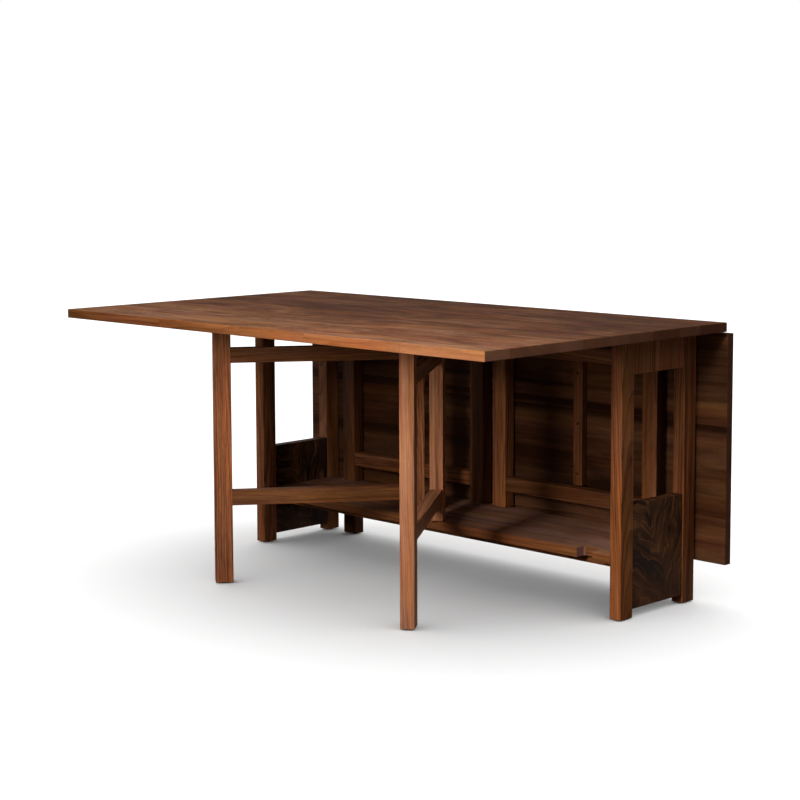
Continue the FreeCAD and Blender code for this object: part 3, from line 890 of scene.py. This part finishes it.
@dataclass(frozen=True)
class WoodScrew:
    """A wood screw with a cross in its head, threads and a point, drawn head down at the origin."""

    head: float
    sink: float
    core: float
    countersunk: bool
    segments: int = 24
    pitch: float = 1.5 * MILLIMETRE
    neck: float = 3.0 * MILLIMETRE
    flank: float = 0.4
    root: float = 0.74
    point: float = 3.0 * MILLIMETRE
    arm_width: float = 0.15
    arm_length: float = 0.62
    recess: float = 0.6
    taper: float = 0.6

    def in_cross(self, at: Vector) -> bool:
        """Whether a point of the head's face is in its cross."""
        near, far = sorted((abs(at.x), abs(at.y)))
        return near < self.arm_width * self.head and far < self.arm_length * self.head

    def recessed_face(self, shape: bmesh.types.BMesh) -> list[bmesh.types.BMEdge]:
        """The face of the head, with its cross sunk in.

        Args:
            shape: an empty bmesh.

        Returns:
            The edges of the face's rim.
        """
        bmesh.ops.create_circle(shape, cap_ends=True, segments=self.segments, radius=self.head)
        for share in (self.arm_width, self.arm_length):
            for across in (Vector((1.0, 0.0, 0.0)), Vector((0.0, 1.0, 0.0))):
                for way in (-1.0, 1.0):
                    bmesh.ops.bisect_plane(shape, geom=[*shape.verts, *shape.edges, *shape.faces],
                                           plane_co=way * share * self.head * across, plane_no=across)
        cross = [face for face in shape.faces if self.in_cross(face.calc_center_median())]
        made = bmesh.ops.extrude_face_region(shape, geom=cross)["geom"]
        bmesh.ops.delete(shape, geom=cross, context="FACES")
        sunk = [part for part in made if isinstance(part, bmesh.types.BMVert)]
        bmesh.ops.translate(shape, vec=(0.0, 0.0, self.recess * self.sink), verts=sunk)
        bmesh.ops.scale(shape, vec=(self.taper, self.taper, 1.0), verts=sunk)
        return [edge for edge in shape.edges if edge.is_boundary]

    def profile(self, length: float) -> list[Span]:
        """Radius and depth of each turn of the outline, from the head's rim to the point.

        Args:
            length: the whole length of the screw.

        Returns:
            The radii and depths.
        """
        depth = self.sink + self.neck
        turns = [] if self.countersunk else [(self.head, self.sink)]
        turns += [(self.core, self.sink), (self.core, depth)]
        while depth + self.pitch < length - self.point - MERGE:
            turns.append((self.root * self.core, depth + self.flank * self.pitch))
            depth += self.pitch
            turns.append((self.core, depth))
        return [*turns, (self.root * self.core, length - self.point)]

    def build(self, length: float) -> bpy.types.Mesh:
        """Draws one screw.

        Args:
            length: its whole length.

        Returns:
            Its mesh.
        """
        shape = bmesh.new()
        rim = self.recessed_face(shape)
        radius, depth = self.head, 0.0
        for next_radius, next_depth in self.profile(length):
            made = bmesh.ops.extrude_edge_only(shape, edges=rim)["geom"]
            ring = [part for part in made if isinstance(part, bmesh.types.BMVert)]
            bmesh.ops.scale(shape, vec=(next_radius / radius, next_radius / radius, 1.0), verts=ring)
            bmesh.ops.translate(shape, vec=(0.0, 0.0, next_depth - depth), verts=ring)
            rim = [edge for edge in shape.edges if edge.is_boundary]
            radius, depth = next_radius, next_depth
        bmesh.ops.pointmerge(shape, verts=ring, merge_co=(0.0, 0.0, length))
        bmesh.ops.recalc_face_normals(shape, faces=shape.faces)
        for face in shape.faces:
            face.smooth = True
        return mesh_of(shape, "screw")


HINGE_SCREW = WoodScrew(
    head=3.4 * MILLIMETRE, sink=2 * MILLIMETRE, core=1.6 * MILLIMETRE, countersunk=True)
BATTEN_SCREW = WoodScrew(
    head=4 * MILLIMETRE, sink=3 * MILLIMETRE, core=2 * MILLIMETRE, countersunk=False)


def solids_of(node: str) -> list[tuple[Vector, Vector]]:
    """The boxes of the separate solids in a CAD node.

    Args:
        node: the node's name.

    Returns:
        The lowest and highest corner of each solid, in order of place.
    """
    shape = bmesh.new()
    shape.from_mesh(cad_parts[node].data)
    bmesh.ops.remove_doubles(shape, verts=shape.verts, dist=MERGE)
    left = set(shape.verts)
    boxes = []
    while left:
        reached = [left.pop()]
        corners = []
        while reached:
            vert = reached.pop()
            corners.append(vert.co.copy())
            beside = {edge.other_vert(vert) for edge in vert.link_edges} & left
            left -= beside
            reached += beside
        boxes.append((Vector(map(min, *corners)), Vector(map(max, *corners))))
    shape.free()
    return sorted(boxes, key=lambda box: tuple(round(part, PLACE_DIGITS) for part in box[0]))


@dataclass
class ScrewSet:
    """All the screws of one CAD node, each in the place of its solid."""

    node: str
    body: str
    screw: WoodScrew
    facing: Facing = Facing.DOWN

    def build(self) -> bpy.types.Object:
        """Draws the screws as one piece.

        Returns:
            The piece.
        """
        shape = bmesh.new()
        depth_axis = 2 if self.facing is Facing.DOWN else 1
        for low, high in solids_of(self.node):
            head = (low + high) / 2
            head[depth_axis] = low[depth_axis]
            pattern = self.screw.build(high[depth_axis] - low[depth_axis])
            drawn = len(shape.verts)
            shape.from_mesh(pattern)
            bpy.data.meshes.remove(pattern)
            shape.verts.ensure_lookup_table()
            place = Matrix.Translation(head) @ Matrix.Rotation(self.facing.value, 4, "X")
            bmesh.ops.transform(shape, matrix=place, verts=shape.verts[drawn:])
        name = f"{self.node}_threaded"
        mesh = mesh_of(shape, name)
        mesh.set_sharp_from_angle(angle=SHARP_ANGLE)
        piece = new_object(name, mesh)
        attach(piece, self.body)
        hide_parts(self.node)
        return piece

    def dress(self) -> None:
        """Draws the screws and gives them their steel."""
        piece = self.build()
        piece.data.materials.append(SCREW_STEEL.material(self.node))
        LOG.info("built %s", piece.name)


@dataclass
class Console:
    """The fixed part: centre board, end frames, shelf, stretchers and their fittings."""

    lot: int = 1
    bushes: tuple[str, ...] = ("shelf_bushes", "top_bushes")
    rails: tuple[str, ...] = ("front_stretcher", "back_stretcher")

    def next_lot(self) -> int:
        """The next piece's place in the tree."""
        self.lot += 1
        return self.lot

    def dress_board(self, name: str, wood: Walnut) -> None:
        """Dresses a piece that lies along the table, with grain that runs true."""
        dress_node(name, wood, Grain.ALONG.turn(), self.next_lot())

    def dress_end(self, side: Side) -> None:
        """Dresses one end frame.

        Args:
            side: the end of the table.
        """
        # Painted shade darkens the left end's back post and panel.
        for piece in ("front_post", "back_post", "end_rail"):
            name = f"{side.value}_{piece}"
            lot = self.next_lot()
            wood = with_painted_shade(END_RAIL_WALNUT if piece == "end_rail" else POST_WALNUT, name)
            dress_node(name, wood, Grain.UPRIGHT.turn(lean=lean_of(lot, wood.lean)), lot)
        name = f"{side.value}_end_panel"
        dress_node(name, with_painted_shade(PANEL_WALNUT, name), Grain.UPRIGHT.turn(), self.next_lot())

    def dress(self) -> None:
        """Dresses every fixed piece."""
        self.dress_board("centre_top", CENTRE_WALNUT)
        for side in Side:
            self.dress_end(side)
        self.dress_board("shelf", SHELF_WALNUT)
        for name in self.rails:
            self.dress_board(name, RAIL_WALNUT)
        dress_node("console_glides", FOOT_NYLON)
        for name in self.bushes:
            dress_node(name, PIVOT_BRASS)
        for edge in Edge:
            for part in ("fixed_plates", "pins"):
                dress_node(f"{edge.value}_hinge_{part}", HINGE_STEEL)
            ScrewSet(f"{edge.value}_hinge_fixed_screws", "console", HINGE_SCREW).dress()


@dataclass
class Gate:
    """A swinging gate: leg, pivot post, two rails, pins and foot.

    Its lightness is that of the leg, the pivot post, the upper rail and the lower rail, partly the
    boards' own tone and partly painted light and shade; its woods are those of the uprights and the
    rails. Painted shade may darken the leg's right face.
    """

    edge: Edge
    side: Side
    lot: int
    tone_and_painted_light: tuple[float, float, float, float]
    swing: float = 0.0
    woods: tuple[Walnut, Walnut] = (CLOSED_GATE_WALNUT, CLOSED_GATE_WALNUT)
    painted_side_shade: Optional[Palette] = None

    @property
    def name(self) -> str:
        """The start of the gate's node names."""
        return f"{self.edge.value}_{self.side.value}_gate"

    def dress(self) -> None:
        """Dresses every piece of the gate."""
        uprights, rails = self.woods
        pieces = (("leg", uprights, Grain.UPRIGHT, 0.0),
                  ("pivot_post", uprights, Grain.UPRIGHT, 0.0),
                  ("upper_rail", rails, Grain.ALONG, self.swing),
                  ("lower_rail", rails, Grain.ALONG, self.swing))
        for step, (piece, kind, grain, swing) in enumerate(pieces):
            name = f"{self.name}_{piece}"
            lot = self.lot + step
            # Painted shade on the leg's right face, where the gate has colours for it.
            painted_side_shade = self.painted_side_shade if piece == "leg" else None
            wood = replace(kind, palette=kind.palette.times(self.tone_and_painted_light[step]), show=painted_side_shade)
            dress_node(name, wood, grain.turn(swing, lean_of(lot, wood.lean)), lot)
        dress_node(f"{self.name}_pins", PIVOT_STEEL)
        dress_node(f"{self.name}_glide", FOOT_NYLON)


@dataclass
class Leaf:
    """A drop leaf: board, battens, their screws and the leaf's hinge plates."""

    edge: Edge
    board: Grain
    batten: Grain
    lot: int

    def dress(self) -> None:
        """Dresses every piece of the leaf."""
        name = f"{self.edge.value}_leaf"
        wood = TOP_WALNUT if self.edge is Edge.FRONT else BACK_LEAF_WALNUT
        dress_node(name, wood, self.board.turn(), self.lot)
        for step, side in enumerate(Side):
            lot = self.lot + 1 + step
            dress_node(f"{name}_{side.value}_batten", BATTEN_WALNUT, self.batten.turn(), lot)
        dress_node(f"{name}_hinge_plates", HINGE_STEEL)
        facing = Facing.DOWN if self.edge is Edge.FRONT else Facing.FORWARD
        for part, screw in (("batten_screws", BATTEN_SCREW), ("hinge_screws", HINGE_SCREW)):
            ScrewSet(f"{name}_{part}", f"{self.edge.value}_drop_leaf", screw, facing).dress()


@dataclass(frozen=True)
class SoftBox:
    """A soft box of the studio, which lights the table and not the floor."""

    name: str
    place: Point
    size: Span
    power: float
    target: Point = (0.2, 0.0, 0.5)

    def build(self, floor: bpy.types.Object) -> None:
        """Sets the soft box up.

        Args:
            floor: the floor.
        """
        data = bpy.data.lights.new(self.name, "AREA")
        data.shape = "RECTANGLE"
        data.size, data.size_y = self.size
        data.energy = self.power
        lamp = new_object(self.name, data)
        lamp.location = self.place
        ahead = Vector(self.target) - Vector(self.place)
        lamp.rotation_euler = ahead.to_track_quat("-Z", "Y").to_euler()
        lamp.visible_camera = False
        unlit = bpy.data.collections.new(f"not_lit_by_{self.name}")
        unlit.objects.link(floor)
        unlit.collection_objects[0].light_linking.link_state = "EXCLUDE"
        lamp.light_linking.receiver_collection = unlit


SOFT_BOXES = (
    SoftBox("front_soft_box", place=(0.72, -1.95, 1.20), size=(0.22, 0.85), power=29.0),
    SoftBox("middle_soft_box", place=(0.30, -1.30, 1.25), size=(0.6, 0.6), power=2.8),
    SoftBox("left_soft_box", place=(-1.50, -1.50, 2.62), size=(0.9, 0.9), power=35.0),
    SoftBox("corner_soft_box", place=(1.50, -1.65, 2.10), size=(0.6, 0.6), power=27.0),
    SoftBox("right_soft_box", place=(2.40, -0.60, 1.70), size=(0.6, 0.6), power=2.0),
    SoftBox("end_soft_box", place=(-2.40, 0.20, 0.50), size=(0.6, 0.6), power=12.0,
            target=(-0.7, 0.3, 0.4)),
    SoftBox("back_soft_box", place=(-0.30, 3.00, 0.42), size=(1.4, 0.6), power=26.0,
            target=(0.0, 0.4, 0.42)),
)
BACKGROUND_RAYS = ("Is Camera Ray", "Is Glossy Ray", "Is Transmission Ray")
WHITE = (1.0, 1.0, 1.0)


@dataclass
class Studio:
    """Pale floor, soft light and the camera."""

    dome: float = 0.07
    floor_size: float = 60.0
    floor_colour: float = 0.8
    floor_bounce: float = 0.035
    floor_light: float = 5.0
    floor_light_angle: float = math.radians(172)
    camera_place: Vector = field(default_factory=lambda: Vector((3.6749, -3.6272, 1.2325)))
    yaw: float = math.radians(44.954)
    pitch: float = math.radians(5.969)
    roll: float = math.radians(-0.21)
    lens: float = 84.659
    sensor: float = 36.0
    shift: float = -0.075

    def seen(self, recipe: Recipe) -> Socket:
        """1 for a ray that shows the background, straight or in a reflection."""
        path = recipe.node("ShaderNodeLightPath")
        return recipe.sum("MINIMUM", recipe.total(*(path.outputs[ray] for ray in BACKGROUND_RAYS)), 1.0)

    def build_world(self) -> None:
        """An even dome of light, with a white background."""
        world = bpy.data.worlds.new("studio")
        world.use_nodes = True
        recipe = Recipe(world.node_tree)
        sky = recipe.node("ShaderNodeBackground")
        recipe.feed(sky.inputs["Color"], recipe.mix(self.seen(recipe), (self.dome,) * 3, WHITE))
        end = recipe.node("ShaderNodeOutputWorld")
        recipe.feed(end.inputs["Surface"], sky.outputs[0])
        bpy.context.scene.world = world

    def build_floor(self) -> bpy.types.Object:
        """The floor, white to the camera where nothing shades it.

        Returns:
            The floor.
        """
        shape = bmesh.new()
        bmesh.ops.create_grid(shape, x_segments=1, y_segments=1, size=self.floor_size / 2)
        floor = new_object("floor", mesh_of(shape, "floor"))
        made, recipe = new_material("pale_floor")
        colour = recipe.mix(self.seen(recipe), (self.floor_bounce,) * 3, (self.floor_colour,) * 3)
        shader = recipe.node("ShaderNodeBsdfDiffuse")
        recipe.feed(shader.inputs["Color"], colour)
        end = recipe.node("ShaderNodeOutputMaterial")
        recipe.feed(end.inputs["Surface"], shader.outputs[0])
        floor.data.materials.append(made)
        return floor

    def build_lights(self, floor: bpy.types.Object) -> None:
        """The soft boxes, which light the table, and an even light from above for the floor.

        Args:
            floor: the floor.
        """
        for box in SOFT_BOXES:
            box.build(floor)
        data = bpy.data.lights.new("floor_light", "SUN")
        data.energy = self.floor_light
        data.angle = self.floor_light_angle
        lamp = new_object("floor_light", data)
        lit = bpy.data.collections.new("lit_by_floor_light")
        lit.objects.link(floor)
        lamp.light_linking.receiver_collection = lit

    def build_camera(self) -> None:
        """The camera at the photograph's viewing angle."""
        data = bpy.data.cameras.new("camera")
        data.lens = self.lens
        data.sensor_width = self.sensor
        data.shift_y = self.shift
        turn = (Matrix.Rotation(self.yaw, 4, "Z") @ Matrix.Rotation(math.pi / 2 - self.pitch, 4, "X")
                @ Matrix.Rotation(self.roll, 4, "Z"))
        camera = new_object("camera", data)
        camera.matrix_world = Matrix.Translation(self.camera_place) @ turn
        bpy.context.scene.camera = camera

    def build(self) -> None:
        """Sets up the floor, the light and the camera."""
        bpy.context.scene.view_settings.view_transform = "Standard"
        self.build_world()
        self.build_lights(self.build_floor())
        self.build_camera()
        LOG.info("studio set up")


def main() -> None:
    """Builds and dresses the table in the studio."""
    logging.basicConfig(level=logging.INFO, format="%(name)s: %(message)s")
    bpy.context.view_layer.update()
    Console().dress()
    # Each gate's lightness per piece is partly the boards' own tone and partly painted light and shade: the
    # front right gate's upper rail and the back left gate's leg and pivot post are darker for shade, the
    # front right and back right pivot posts paler for light.
    Gate(Edge.FRONT, Side.LEFT, 30, (0.95, 1.0, 0.82, 0.85), math.pi + OPEN_SWING,
         (FAR_LEG_WALNUT, FAR_RAIL_WALNUT)).dress()
    Gate(Edge.FRONT, Side.RIGHT, 34, (0.92, 1.22, 0.55, 0.95), -OPEN_SWING,
         (NEAR_GATE_WALNUT, NEAR_GATE_WALNUT)).dress()
    Gate(Edge.BACK, Side.LEFT, 38, (0.5, 0.75, 1.0, 0.93)).dress()
    Gate(Edge.BACK, Side.RIGHT, 42, (1.15, 1.35, 1.0, 0.75), painted_side_shade=PAINTED_SIDE_SHADE).dress()
    Leaf(Edge.FRONT, Grain.ALONG, Grain.ACROSS, 60).dress()
    Leaf(Edge.BACK, Grain.HANGING, Grain.UPRIGHT, 66).dress()
    Studio().build()


if __name__ == "__main__":
    main()
